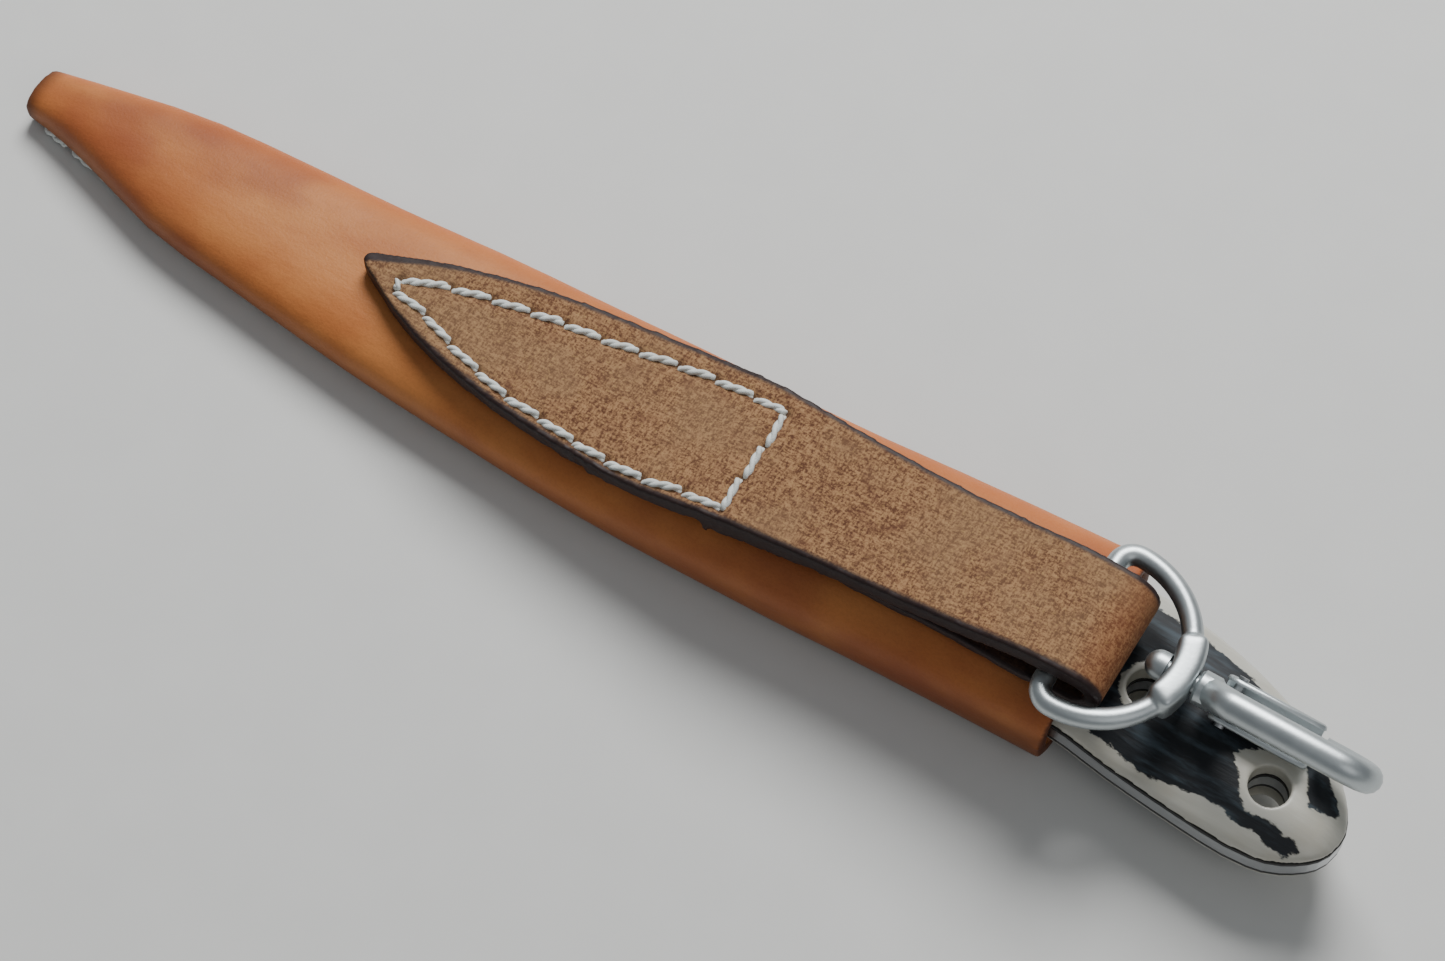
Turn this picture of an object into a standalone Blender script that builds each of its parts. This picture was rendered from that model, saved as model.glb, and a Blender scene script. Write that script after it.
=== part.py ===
"""A small full-tang knife in its leather pouch sheath, hung from a swivel snap hook.

X runs from the sheath's tip to the knife's butt, Y across, Z up. The sheath lies on its front, so the
hanger strap on its back faces up. Lengths are written in millimetres, measured from the sheath's tip,
and placed in metres.
"""

import bpy
import bmesh
from math import atan, cos, pi, radians, sin
from mathutils import Matrix, Vector

MM = 0.001
GAP = 0.3
THIN_GAP = 0.1

# The whole object: where its base centre lies, measured from the sheath's tip.
BASE_CENTRE_X = 108.98
BASE_CENTRE_Y = -0.14

# Sheath: leather wrapped round the knife, lying on its front.
LEATHER = 2.5
MOUTH_X = 178.0
POCKET_START_X = 11.0
SHEATH_ROUNDNESS = 2.6
POCKET_ROUNDNESS = 3.4
FLAT_BASE_DEPTH = 0.25
PAST_MOUTH = 2.0
SHEATH_FAR = ((0, 5.4), (5, 6.1), (12, 7.1), (20, 8.5), (30, 9.8), (60, 11.3), (80, 12.7), (110, 13.5),
              (135, 13.9), (150, 14.8), (178, 16.4))
SHEATH_NEAR = ((0, -2.6), (5, -3.4), (12, -5.1), (20, -7.4), (30, -10.1), (45, -12.1), (60, -13.7),
               (80, -15.4), (110, -16.6), (135, -16.3), (150, -15.8), (178, -15.0))
SHEATH_HEIGHT = ((0, 5.6), (12, 7.9), (30, 8.9), (64, 10.3), (100, 12.2), (118, 13.7), (130, 14.7),
                 (144, 15.5), (160, 16.2), (178, 16.9))

# Welt: the strip that keeps the blade's edge off the seam.
WELT_START_X = 22.0
WELT_END_X = 102.0
WELT_WIDTH = 2.2
WELT_THICK = 1.6
WELT_SIDE_GAP = 0.5

# Knife: a flat full tang between two scales, tilted a little as it lies in the wedge-shaped pouch.
KNIFE_TIP_X = 13.0
KNIFE_TILT = atan(0.0262)
KNIFE_PIVOT = (12.0, 0.0, 4.1)
KNIFE_PIVOT_FLAT = (12.0, 0.0, 0.0)
TANG_THICK = 2.4
EDGE_THICK = 0.16
TIP_THICK_SHARE = 0.45
TAPER_LENGTH = 60.0
GRIND_SHARE = 0.62
GRIND_RUNOUT = 5.0
LINER_THICK = 0.5
SCALE_START_X = 107.0
BUTT_X = 217.1
HEEL_X = 98.0
SPINE_LINE = ((13, 2.3), (22, 3.9), (35, 5.9), (55, 7.7), (80, 9.0), (107, 9.8), (130, 10.4), (150, 11.2),
              (168, 12.2), (178, 12.5), (187, 11.5), (196, 9.4), (204, 6.4), (211, 2.9), (215, -1.2),
              (216.6, -4.0), (217.1, -5.6))
EDGE_LINE = ((13, 2.3), (18, -0.2), (26, -2.8), (38, -5.6), (55, -7.8), (80, -9.4), (98, -10.0),
             (107, -10.2), (125, -10.8), (150, -11.1), (168, -11.4), (178, -11.8), (187, -13.2),
             (197, -14.3), (205, -14.8), (210, -14.2), (213, -12.8), (215.6, -10.7), (216.8, -8.6),
             (217.1, -7.0))
HALF_THICK = ((107, 2.3), (110, 2.9), (118, 3.6), (130, 4.1), (144, 4.5), (160, 4.8), (178, 5.2), (196, 5.2),
              (206, 4.9), (212, 4.2), (215.5, 3.2), (217.1, 2.2))
SCALE_ROUNDNESS = 2.2
PIN_RADIUS = 2.4
PIN_XS = {"handle_pin_front": (122.0, 3.6), "handle_pin_rear": (154.0, 4.6)}
HOLE_RADIUS = 2.8
LANYARD_HOLE = (206.0, -5.9)
FORWARD_HOLE = (186.4, -2.0)
DRILL_LENGTH = 40.0

# Hanger strap: one strip folded round the eye's bar, its skived end sewn in under the leaf.
STRAP_CENTRE_Y = -2.4
STRAP_THICK = 2.8
SKIVED_THICK = 1.7
STRAP_FOLD_X = 178.8
SKIVED_END_X = 125.0
LEAF_TIP = (61.8, -1.3)
LEAF_TIP_BEND = 22.0
STOCK_WIDTH = 60.0
STOCK_MIDDLE_Z = 15.0
LEAF_HALF_WIDTH = ((61.8, 0.5), (63, 1.4), (66, 2.7), (70, 4.6), (76, 6.7), (83, 8.5), (91, 9.9), (100, 10.8),
                   (112, 11.6), (122, 11.4), (131, 10.7), (142, 9.9), (155, 9.3), (168, 8.9), (182, 8.4))
STRAP_UNDERSIDE = ((61, 10.55), (80, 11.55), (100, 12.6), (112, 13.7), (118, 14.9), (124, 16.5), (130, 17.15),
                   (140, 17.9), (152, 18.9), (162, 20.3), (168, 21.5), (173, 22.35), (180, 22.5))

# Box stitching through the leaf, and the seam under the sheath's near side.
THREAD_RADIUS = 0.45
BOX_GAP = 0.35
SEAM_GAP = 0.4
BOX_CENTRE_Y = -3.3
BOX_HALF_WIDTH = ((68.6, 1.0), (75, 2.7), (81, 4.5), (87, 5.8), (92, 6.8), (98, 7.6), (104, 8.2), (110, 8.8),
                  (115, 9.0), (121, 8.7), (127, 8.45))
SEAM_START_X = 2.5
SEAM_END_X = 173.0
SEAM_SHARE = ((2.5, 0.93), (7, 0.92), (15, 0.86), (40, 0.83), (173, 0.83))

# Swivel eye: a D of round wire whose straight bar lies in the strap's fold.
BAR_X = 175.1
SWIVEL_Y = -1.6
SWIVEL_Z = 20.8
WIRE_RADIUS = 1.35
BOW_RADIUS = 12.35
BOW_CENTRE_X = 177.5
HUB_HALF_ANGLE = radians(25)
HUB_RADIAL = 3.6
HUB_HEIGHT = 4.8
HUB_ROUNDING = 1.5
POST_RADIUS = 1.25
POST_CLEARANCE = 0.15
POST_END = 2.2
POST_HOLE = (-3.6, 2.4)
HEAD_RADIUS = 2.0
HEAD_GAP = 0.4
HEAD_LENGTH = 2.9
SHORT_DRILL_LENGTH = 12.0

# Hook: a rod that leaves the collar, runs along one side and bends back to meet the gate.
HOOK_ROLL = radians(28)
COLLAR_X = 192.0
COLLAR_RADIUS = 2.35
COLLAR_PROFILE = ((0, -0.4), (0.4, 0.0), (2.6, 0.0), (3.2, -0.5))
ROD_RADIUS = 2.0
SPINE_RISE = 4.2
RISE_START = 1.0
RISE_LENGTH = 4.6
HOOK_END_X = 216.0
NOSE_DROP = -4.0
NOSE_X = 209.4
LUG_START = 1.2
LUG_PAST_PIN = 1.1
LUG_HALF_WIDTH = 1.7
LUG_LOW = -4.75
LUG_HIGH = 0.3
EDGE_ROUNDING = 0.5
GATE_PIVOT = (196.6, -3.7)
GATE_PIN_RADIUS = 0.7
GATE_PIN_PROUD = 0.4
GATE_WIDTH = 6.4
GATE_SHEET = 0.7
GATE_END_X = 208.7
GATE_BOTTOM = -5.8
GATE_RIM = -2.6
SPRING_RADIUS = 0.35
SPRING_ROUTE = ((6.7, 0, -2.0), (8.2, 0, -2.6), (10.0, 0, -3.6), (11.8, 0, -4.3), (13.2, 0, -4.3))


def clear_scene():
    for old in list(bpy.data.objects):
        bpy.data.objects.remove(old, do_unlink=True)


def smooth_value(table, x):
    """The value at x of a smooth curve through the table's points."""
    last = len(table) - 1
    if x <= table[0][0]:
        return table[0][1]
    if x >= table[last][0]:
        return table[last][1]
    i = max(n for n in range(last) if table[n][0] <= x)

    def slope(n):
        low, high = max(n - 1, 0), min(n + 1, last)
        return (table[high][1] - table[low][1]) / (table[high][0] - table[low][0])

    span = table[i + 1][0] - table[i][0]
    t = (x - table[i][0]) / span
    start = (2 * t**3 - 3 * t**2 + 1) * table[i][1] + (t**3 - 2 * t**2 + t) * span * slope(i)
    end = (3 * t**2 - 2 * t**3) * table[i + 1][1] + (t**3 - t**2) * span * slope(i + 1)
    return start + end


def stations(start, end, count):
    return [start + (end - start) * n / (count - 1) for n in range(count)]


def signed_power(value, power):
    return abs(value) ** power * (1 if value >= 0 else -1)


clear_scene()
scene = bpy.context.scene
parts = bpy.data.collections.new("sheathed_knife")
cutters = bpy.data.collections.new("cutters")
scene.collection.children.link(parts)
scene.collection.children.link(cutters)


def finish(name, color, metallic, roughness):
    material = bpy.data.materials.new(name)
    material.use_nodes = True
    shader = material.node_tree.nodes["Principled BSDF"]
    shader.inputs["Base Color"].default_value = (*color, 1.0)
    shader.inputs["Metallic"].default_value = metallic
    shader.inputs["Roughness"].default_value = roughness
    return material


TAN_LEATHER = ((0.50, 0.20, 0.075), 0.0, 0.45)
ROUGH_LEATHER = ((0.30, 0.16, 0.075), 0.0, 0.85)
WHITE_THREAD = ((0.72, 0.74, 0.70), 0.0, 0.75)
SATIN_STEEL = ((0.62, 0.64, 0.65), 1.0, 0.32)
BONE = ((0.66, 0.65, 0.60), 0.0, 0.35)
BLACK_FIBRE = ((0.03, 0.03, 0.03), 0.0, 0.6)


def empty(name, place, parent=None, rotation=(0, 0, 0)):
    made = bpy.data.objects.new(name, None)
    made.location = [value * MM for value in place]
    made.rotation_euler = rotation
    made.parent = parent
    parts.objects.link(made)
    return made


root = empty("object_base", (-BASE_CENTRE_X, -BASE_CENTRE_Y, 0))
knife_axis = empty("knife_axis", KNIFE_PIVOT, root, (0, -KNIFE_TILT, 0))
eye_axis = empty("eye_axis", (BAR_X, SWIVEL_Y, SWIVEL_Z), root)
hook_axis = empty("hook_axis", (COLLAR_X - BAR_X, 0, 0), eye_axis, (HOOK_ROLL, 0, 0))
gate_axis = empty("gate_axis", (GATE_PIVOT[0] - COLLAR_X, 0, GATE_PIVOT[1]), hook_axis)


def smooth_faces(mesh, angle=40):
    mesh.shade_smooth()
    mesh.set_sharp_from_angle(angle=radians(angle))


def piece(name, mesh, look, parent, origin=(0, 0, 0)):
    """A part whose mesh is in millimetres; origin is its parent's place in the same coordinates."""
    mesh.transform(Matrix.Scale(MM, 4) @ Matrix.Translation(-Vector(origin)))
    smooth_faces(mesh)
    mesh.materials.clear()
    mesh.materials.append(finish(name, *look))
    made = bpy.data.objects.new(name, mesh)
    made.parent = parent
    parts.objects.link(made)
    return made


def loft(name, rings):
    """A closed skin through rings of equal point counts, capped at both ends."""
    shape = bmesh.new()
    rows = [[shape.verts.new(point) for point in ring] for ring in rings]
    for first, second in zip(rows, rows[1:]):
        for n in range(len(first)):
            m = (n + 1) % len(first)
            shape.faces.new((first[n], first[m], second[m], second[n]))
    shape.faces.new(reversed(rows[0]))
    shape.faces.new(rows[-1])
    bmesh.ops.recalc_face_normals(shape, faces=shape.faces)
    mesh = bpy.data.meshes.new(name)
    shape.to_mesh(mesh)
    shape.free()
    return mesh


def evaluated_mesh(obj, weld=1e-4):
    graph = bpy.context.evaluated_depsgraph_get()
    mesh = bpy.data.meshes.new_from_object(obj.evaluated_get(graph))
    shape = bmesh.new()
    shape.from_mesh(mesh)
    bmesh.ops.remove_doubles(shape, verts=shape.verts, dist=weld)
    bmesh.ops.recalc_face_normals(shape, faces=shape.faces)
    shape.to_mesh(mesh)
    shape.free()
    return mesh


def from_curve(name, points, cyclic, settings):
    data = bpy.data.curves.new(name, "CURVE")
    for key, value in settings.items():
        setattr(data, key, value)
    spline = data.splines.new("POLY")
    spline.points.add(len(points) - 1)
    for target, point in zip(spline.points, points):
        target.co = (*point, 1.0)
    spline.use_cyclic_u = cyclic
    guide = bpy.data.objects.new(name + "_guide", data)
    cutters.objects.link(guide)
    bpy.context.view_layer.update()
    mesh = evaluated_mesh(guide)
    bpy.data.objects.remove(guide, do_unlink=True)
    return mesh


def tube(name, points, radius, cyclic=False, sides=2):
    settings = {"dimensions": "3D", "bevel_depth": radius, "bevel_resolution": sides, "use_fill_caps": True}
    return from_curve(name, points, cyclic, settings)


def plate(name, outline, thick):
    """A flat outline in XY, thick about z = 0."""
    settings = {"dimensions": "2D", "fill_mode": "BOTH", "extrude": thick / 2}
    return from_curve(name, [(x, y, 0) for x, y in outline], True, settings)


def cylinder(name, radius, length, segments=32):
    shape = bmesh.new()
    bmesh.ops.create_cone(shape, cap_ends=True, segments=segments, radius1=radius, radius2=radius, depth=length)
    mesh = bpy.data.meshes.new(name)
    shape.to_mesh(mesh)
    shape.free()
    return mesh


def joined(name, first, second, operation):
    """The Boolean of two meshes, as a new mesh."""
    pair = [bpy.data.objects.new(name + suffix, mesh) for suffix, mesh in (("_a", first), ("_b", second))]
    for helper in pair:
        helper.hide_render = True
        helper.display_type = "WIRE"
        cutters.objects.link(helper)
    change = pair[0].modifiers.new("join", "BOOLEAN")
    change.operation = operation
    change.object = pair[1]
    bpy.context.view_layer.update()
    mesh = evaluated_mesh(pair[0], 1e-5)
    for helper in pair:
        bpy.data.objects.remove(helper, do_unlink=True)
    return mesh


def cut(name, mesh, cutting_meshes):
    for cutter in cutting_meshes:
        mesh = joined(name, mesh, cutter, "DIFFERENCE")
    return mesh


def placed(mesh, place=(0, 0, 0), turn=None):
    mesh.transform(Matrix.Translation(Vector(place)) @ (turn or Matrix.Identity(4)))
    return mesh


ACROSS_Y = Matrix.Rotation(pi / 2, 4, "X")
ALONG_X = Matrix.Rotation(pi / 2, 4, "Y")


# Sheath

def sheath_middle(x):
    """Centre and half-width of the sheath at x, in Y."""
    far, near = smooth_value(SHEATH_FAR, x), smooth_value(SHEATH_NEAR, x)
    return (far + near) / 2, (far - near) / 2


def rounded_ring(x, centre_y, half_width, low, high, roundness, count=40, floor=None):
    centre_z, half_height = (low + high) / 2, (high - low) / 2
    ring = []
    for n in range(count):
        angle = 2 * pi * n / count
        y = centre_y + half_width * signed_power(cos(angle), 2 / roundness)
        z = centre_z + half_height * signed_power(sin(angle), 2 / roundness)
        ring.append((x, y, z if floor is None else max(z, floor)))
    return ring


def sheath_ring(x, shrink=0.0):
    centre, half = sheath_middle(x)
    height = smooth_value(SHEATH_HEIGHT, x)
    return rounded_ring(x, centre, half - shrink, -FLAT_BASE_DEPTH, height, SHEATH_ROUNDNESS, floor=0.0)


def pocket_ring(x, past_mouth=0.0):
    centre, half = sheath_middle(x)
    height = smooth_value(SHEATH_HEIGHT, x)
    return rounded_ring(x + past_mouth, centre, half - LEATHER, LEATHER, height - LEATHER, POCKET_ROUNDNESS)


sheath_outside = loft("outside", [sheath_ring(x) for x in (0.0, 1.5, 4, 8, *stations(12, MOUTH_X, 22))])
pocket = loft("pocket", [pocket_ring(x) for x in stations(POCKET_START_X, MOUTH_X, 18)]
              + [pocket_ring(MOUTH_X, PAST_MOUTH)])
piece("sheath_body", cut("sheath_body", sheath_outside, [pocket]), TAN_LEATHER, root)


def pocket_near(x):
    centre, half = sheath_middle(x)
    return centre - half + LEATHER


def pocket_middle_z(x):
    return smooth_value(SHEATH_HEIGHT, x) / 2


def welt_ring(x):
    outer = pocket_near(x) + WELT_SIDE_GAP
    inner = outer + WELT_WIDTH
    low, high = pocket_middle_z(x) - WELT_THICK / 2, pocket_middle_z(x) + WELT_THICK / 2
    return [(x, outer, low), (x, inner, low), (x, inner, high), (x, outer, high)]


welt = loft("welt", [welt_ring(x) for x in stations(WELT_START_X, WELT_END_X, 14)])
piece("sheath_welt", welt, TAN_LEATHER, root)


def seam_point(x):
    """A point just outside the sheath's lower near side, where the seam's thread lies."""
    centre, half = sheath_middle(x)
    height = smooth_value(SHEATH_HEIGHT, x)
    share = smooth_value(SEAM_SHARE, x)
    rise = (1 - share**SHEATH_ROUNDNESS) ** (1 / SHEATH_ROUNDNESS)
    middle = (height - FLAT_BASE_DEPTH) / 2
    depth = (height + FLAT_BASE_DEPTH) / 2
    y, z = centre - half * share, middle - depth * rise
    across = (half * share) ** (SHEATH_ROUNDNESS - 1) / half**SHEATH_ROUNDNESS
    down = (depth * rise) ** (SHEATH_ROUNDNESS - 1) / depth**SHEATH_ROUNDNESS
    outward = Vector((0, -across, -down)).normalized() * (THREAD_RADIUS + SEAM_GAP)
    return Vector((x, y, z)) + outward


seam = tube("seam", [seam_point(x) for x in stations(SEAM_START_X, SEAM_END_X, 44)], THREAD_RADIUS, sides=1)
piece("sheath_thread", seam, WHITE_THREAD, root)


# Hanger strap

def strap_path():
    """The strip's middle line in XZ with its thickness, from the leaf's tip round the fold to its skived end."""
    path = []
    for x in (*stations(61.0, 118.0, 12), *stations(121.0, STRAP_FOLD_X, 16)):
        path.append((x, smooth_value(STRAP_UNDERSIDE, x) + STRAP_THICK / 2, STRAP_THICK))
    top_inside = path[-1][1] - STRAP_THICK / 2
    low_inside = smooth_value(SHEATH_HEIGHT, STRAP_FOLD_X) + GAP + SKIVED_THICK
    inner_radius = (top_inside - low_inside) / 2
    for n in range(1, 12):
        angle = pi * n / 12
        thick = STRAP_THICK + (SKIVED_THICK - STRAP_THICK) * n / 12
        reach = inner_radius + thick / 2
        path.append((STRAP_FOLD_X + reach * sin(angle),
                     (top_inside + low_inside) / 2 + reach * cos(angle), thick))
    for x in stations(STRAP_FOLD_X, SKIVED_END_X, 14):
        base = smooth_value(SHEATH_HEIGHT, min(x, MOUTH_X)) + GAP
        path.append((x, base + SKIVED_THICK / 2, SKIVED_THICK))
    return path


def ribbon_outline(path):
    """The outline of a strip whose middle line and thickness are given."""
    left, right = [], []
    for n, (x, z, thick) in enumerate(path):
        before, after = path[max(n - 1, 0)], path[min(n + 1, len(path) - 1)]
        along = Vector((after[0] - before[0], after[1] - before[1])).normalized()
        side = Vector((-along.y, along.x)) * thick / 2
        left.append((x + side.x, z + side.y))
        right.append((x - side.x, z - side.y))
    return left + right[::-1]


def leaf_outline():
    """The strip's outline in XY: a leaf that narrows to the strap's width."""
    xs = (61.8, 62.3, 63, 64.5, 66, *stations(70, 142, 15), 155, 172, 190)
    far, near = [], []
    for x in xs:
        half = smooth_value(LEAF_HALF_WIDTH, x)
        drift = max(0.0, 1 - (x - LEAF_TIP[0]) / LEAF_TIP_BEND) ** 2
        centre = STRAP_CENTRE_Y + (LEAF_TIP[1] - STRAP_CENTRE_Y) * drift
        far.append((x, centre + half))
        near.append((x, centre - half))
    return far + near[::-1]


strip = placed(plate("strip", ribbon_outline(strap_path()), STOCK_WIDTH), turn=ACROSS_Y)
leaf = placed(plate("leaf", leaf_outline(), STOCK_WIDTH), (0, 0, STOCK_MIDDLE_Z))
piece("hanger_strap", joined("hanger_strap", strip, leaf, "INTERSECT"), ROUGH_LEATHER, root)


def box_route():
    """The box stitching's route: out along the far row, across the end row and back."""
    xs = stations(BOX_HALF_WIDTH[0][0], BOX_HALF_WIDTH[-1][0], 24)
    lift = STRAP_THICK + BOX_GAP + THREAD_RADIUS

    def on_leaf(x, side):
        y = BOX_CENTRE_Y + side * smooth_value(BOX_HALF_WIDTH, x)
        return x, y, smooth_value(STRAP_UNDERSIDE, x) + lift

    return [on_leaf(x, 1) for x in xs] + [on_leaf(x, -1) for x in reversed(xs)]


piece("strap_thread", tube("box", box_route(), THREAD_RADIUS, cyclic=True, sides=1), WHITE_THREAD, root)


# Knife, in its own flat frame: z = 0 is the middle of the tang

def knife_section(x):
    return smooth_value(EDGE_LINE, x), smooth_value(SPINE_LINE, x)


def blade_ring(x):
    edge, spine = knife_section(x)
    taper = min(1.0, TIP_THICK_SHARE + (x - KNIFE_TIP_X) / TAPER_LENGTH)
    thick = TANG_THICK / 2 * taper
    grind = min(1.0, max(0.0, (x - HEEL_X) / GRIND_RUNOUT))
    edge_thick = EDGE_THICK / 2 + (thick - EDGE_THICK / 2) * grind
    shoulder = edge + (spine - edge) * GRIND_SHARE
    return [(x, edge, -edge_thick), (x, shoulder, -thick), (x, spine, -thick),
            (x, spine, thick), (x, shoulder, thick), (x, edge, edge_thick)]


HANDLE_XS = (*stations(112, 176, 9), *stations(180, 208, 9), 210, 212, 213.5, 214.8, 215.8, 216.6, BUTT_X)


def hole_cutters(holes):
    return [placed(cylinder("drill", radius, DRILL_LENGTH), (x, y, 0)) for x, y, radius in holes]


def pin_y(x):
    edge, spine = knife_section(x)
    return (edge + spine) / 2


def handle_holes():
    holes = [(*LANYARD_HOLE, HOLE_RADIUS), (*FORWARD_HOLE, HOLE_RADIUS)]
    holes += [(x, pin_y(x), PIN_RADIUS + THIN_GAP) for x, _ in PIN_XS.values()]
    return holes


blade = loft("blade", [blade_ring(x) for x in (KNIFE_TIP_X + 0.4, 14.5, *stations(17, HEEL_X, 16),
                                               100, 103, SCALE_START_X, *HANDLE_XS)])
piece("blade", cut("blade", blade, hole_cutters(handle_holes())), SATIN_STEEL, knife_axis, KNIFE_PIVOT_FLAT)


def liner_ring(x, low, high):
    edge, spine = knife_section(x)
    return [(x, edge, low), (x, spine, low), (x, spine, high), (x, edge, high)]


def scale_ring(x, base):
    """A flat base with a dome over it."""
    edge, spine = knife_section(x)
    centre, half = (edge + spine) / 2, (spine - edge) / 2
    rise = smooth_value(HALF_THICK, x) - base
    ring = []
    for n in range(17):
        angle = pi * n / 16
        across = signed_power(cos(angle), 2 / SCALE_ROUNDNESS)
        up = signed_power(sin(angle), 2 / SCALE_ROUNDNESS)
        ring.append((x, centre + half * across, base + rise * up))
    return ring


for side, name in ((1, "upper"), (-1, "lower")):
    low = TANG_THICK / 2 + THIN_GAP
    high = low + LINER_THICK
    liner = loft("liner", [liner_ring(x, low, high) for x in (SCALE_START_X, *HANDLE_XS)])
    scale = loft("scale", [scale_ring(x, high + THIN_GAP) for x in (SCALE_START_X, 108, 109.5, *HANDLE_XS)])
    for label, mesh, look in (("liner_", liner, BLACK_FIBRE), ("scale_", scale, BONE)):
        mesh = cut(label, mesh, hole_cutters(handle_holes()))
        if side < 0:
            mesh.transform(Matrix.Scale(-1, 4, (0, 0, 1)))
            mesh.flip_normals()
        piece(label + name, mesh, look, knife_axis, KNIFE_PIVOT_FLAT)

for name, (x, half_length) in PIN_XS.items():
    pin = placed(cylinder(name, PIN_RADIUS, 2 * half_length), (x, pin_y(x), 0))
    piece(name, pin, SATIN_STEEL, knife_axis, KNIFE_PIVOT_FLAT)


# Swivel eye

def eye_route():
    """The D's wire, about the middle of its bar: the bar, two corners and the bow."""
    bow_x = BOW_CENTRE_X - BAR_X
    straight = BOW_RADIUS - bow_x
    route = [(0, y, 0) for y in (-straight, 0, straight)]
    for n in range(1, 6):
        angle = pi / 2 * n / 6
        route.append((bow_x - bow_x * cos(angle), straight + bow_x * sin(angle), 0))
    for n in range(33):
        angle = pi / 2 - pi * n / 32
        route.append((bow_x + BOW_RADIUS * cos(angle), BOW_RADIUS * sin(angle), 0))
    for n in range(5, 0, -1):
        angle = pi / 2 * n / 6
        route.append((bow_x - bow_x * cos(angle), -straight - bow_x * sin(angle), 0))
    return route


def hub_outline():
    inner, outer = BOW_RADIUS - HUB_RADIAL / 2, BOW_RADIUS + HUB_RADIAL / 2
    bow_x = BOW_CENTRE_X - BAR_X
    angles = stations(-HUB_HALF_ANGLE, HUB_HALF_ANGLE, 13)
    arc = [(bow_x + outer * cos(a), outer * sin(a)) for a in angles]
    return arc + [(bow_x + inner * cos(a), inner * sin(a)) for a in reversed(angles)]


def bevelled(name, mesh, width, segments=2):
    """The mesh with its sharp edges rounded."""
    helper = bpy.data.objects.new(name, mesh)
    helper.hide_render = True
    cutters.objects.link(helper)
    rounding = helper.modifiers.new("rounding", "BEVEL")
    rounding.width = width
    rounding.segments = segments
    rounding.limit_method = "ANGLE"
    rounding.angle_limit = radians(35)
    bpy.context.view_layer.update()
    rounded = evaluated_mesh(helper, 1e-5)
    bpy.data.objects.remove(helper, do_unlink=True)
    return rounded


hub = bevelled("hub", plate("hub", hub_outline(), HUB_HEIGHT), HUB_ROUNDING, 4)
ring = joined("ring", tube("ring", eye_route(), WIRE_RADIUS, cyclic=True, sides=4), hub, "UNION")
post_way = placed(cylinder("way", POST_RADIUS + POST_CLEARANCE, SHORT_DRILL_LENGTH),
                  (BOW_CENTRE_X - BAR_X + BOW_RADIUS, 0, 0), ALONG_X)
piece("swivel_eye", cut("swivel_eye", ring, [post_way]), SATIN_STEEL, eye_axis)


# Swivel rivet and hook, about the collar on the swivel's axis; +z is the rod's side

def turned(name, profile, steps=28):
    """A solid turned about the X axis from (x, radius) points."""
    rings = []
    for x, radius in profile:
        rings.append([(x, radius * cos(2 * pi * n / steps), radius * sin(2 * pi * n / steps))
                      for n in range(steps)])
    return loft(name, rings)


HUB_INSIDE = BOW_CENTRE_X + BOW_RADIUS - HUB_RADIAL / 2 - COLLAR_X
head = [(HUB_INSIDE - HEAD_GAP - HEAD_LENGTH + HEAD_RADIUS * (1 - cos(a)), HEAD_RADIUS * sin(a))
        for a in stations(0.12, pi / 2, 7)]
rivet = head + [(HUB_INSIDE - HEAD_GAP, HEAD_RADIUS), (HUB_INSIDE - HEAD_GAP, POST_RADIUS), (POST_END, POST_RADIUS)]
piece("swivel_rivet", turned("swivel_rivet", rivet), SATIN_STEEL, hook_axis)


def hook_route():
    """The rod's middle line in the hook's own plane."""
    rise = [(RISE_START + RISE_LENGTH * t, SPINE_RISE * (3 * t**2 - 2 * t**3)) for t in stations(0, 1, 8)]
    drop = (SPINE_RISE - NOSE_DROP) / 2
    middle = (SPINE_RISE + NOSE_DROP) / 2
    bend_x = HOOK_END_X - COLLAR_X - drop
    bend = [(bend_x + drop * sin(a), middle + drop * cos(a)) for a in stations(0, pi, 13)]
    nose = [(NOSE_X - COLLAR_X, NOSE_DROP)]
    return [(x, 0, z) for x, z in rise + bend + nose]


def box(name, low, high):
    shape = bmesh.new()
    bmesh.ops.create_cube(shape, size=1.0)
    mesh = bpy.data.meshes.new(name)
    shape.to_mesh(mesh)
    shape.free()
    size = [b - a for a, b in zip(low, high)]
    middle = [(b + a) / 2 for a, b in zip(low, high)]
    mesh.transform(Matrix.Translation(middle) @ Matrix.Diagonal((*size, 1)))
    return mesh


collar = turned("collar", [(x, COLLAR_RADIUS + change) for x, change in COLLAR_PROFILE])
lug_end = GATE_PIVOT[0] - COLLAR_X + LUG_PAST_PIN
lug = box("lug", (LUG_START, -LUG_HALF_WIDTH, LUG_LOW), (lug_end, LUG_HALF_WIDTH, LUG_HIGH))
lug = bevelled("lug", lug, EDGE_ROUNDING)
hook = joined("hook", tube("rod", hook_route(), ROD_RADIUS, sides=5), collar, "UNION")
hook = joined("hook", hook, lug, "UNION")
post_depth = POST_HOLE[1] - POST_HOLE[0]
rivet_way = placed(cylinder("way", POST_RADIUS + THIN_GAP, post_depth), (sum(POST_HOLE) / 2, 0, 0), ALONG_X)
pin_place = (GATE_PIVOT[0] - COLLAR_X, 0, GATE_PIVOT[1])
pin_way = placed(cylinder("way", GATE_PIN_RADIUS + THIN_GAP, SHORT_DRILL_LENGTH), pin_place, ACROSS_Y)
piece("hook_body", cut("hook_body", hook, [rivet_way, pin_way]), SATIN_STEEL, hook_axis)

pin = placed(cylinder("gate_pin", GATE_PIN_RADIUS, GATE_WIDTH + 2 * GATE_PIN_PROUD, 20),
             pin_place, ACROSS_Y)
piece("gate_pin", pin, SATIN_STEEL, hook_axis)


# Gate: a pressed channel, about its pin, open towards the rod

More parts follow.
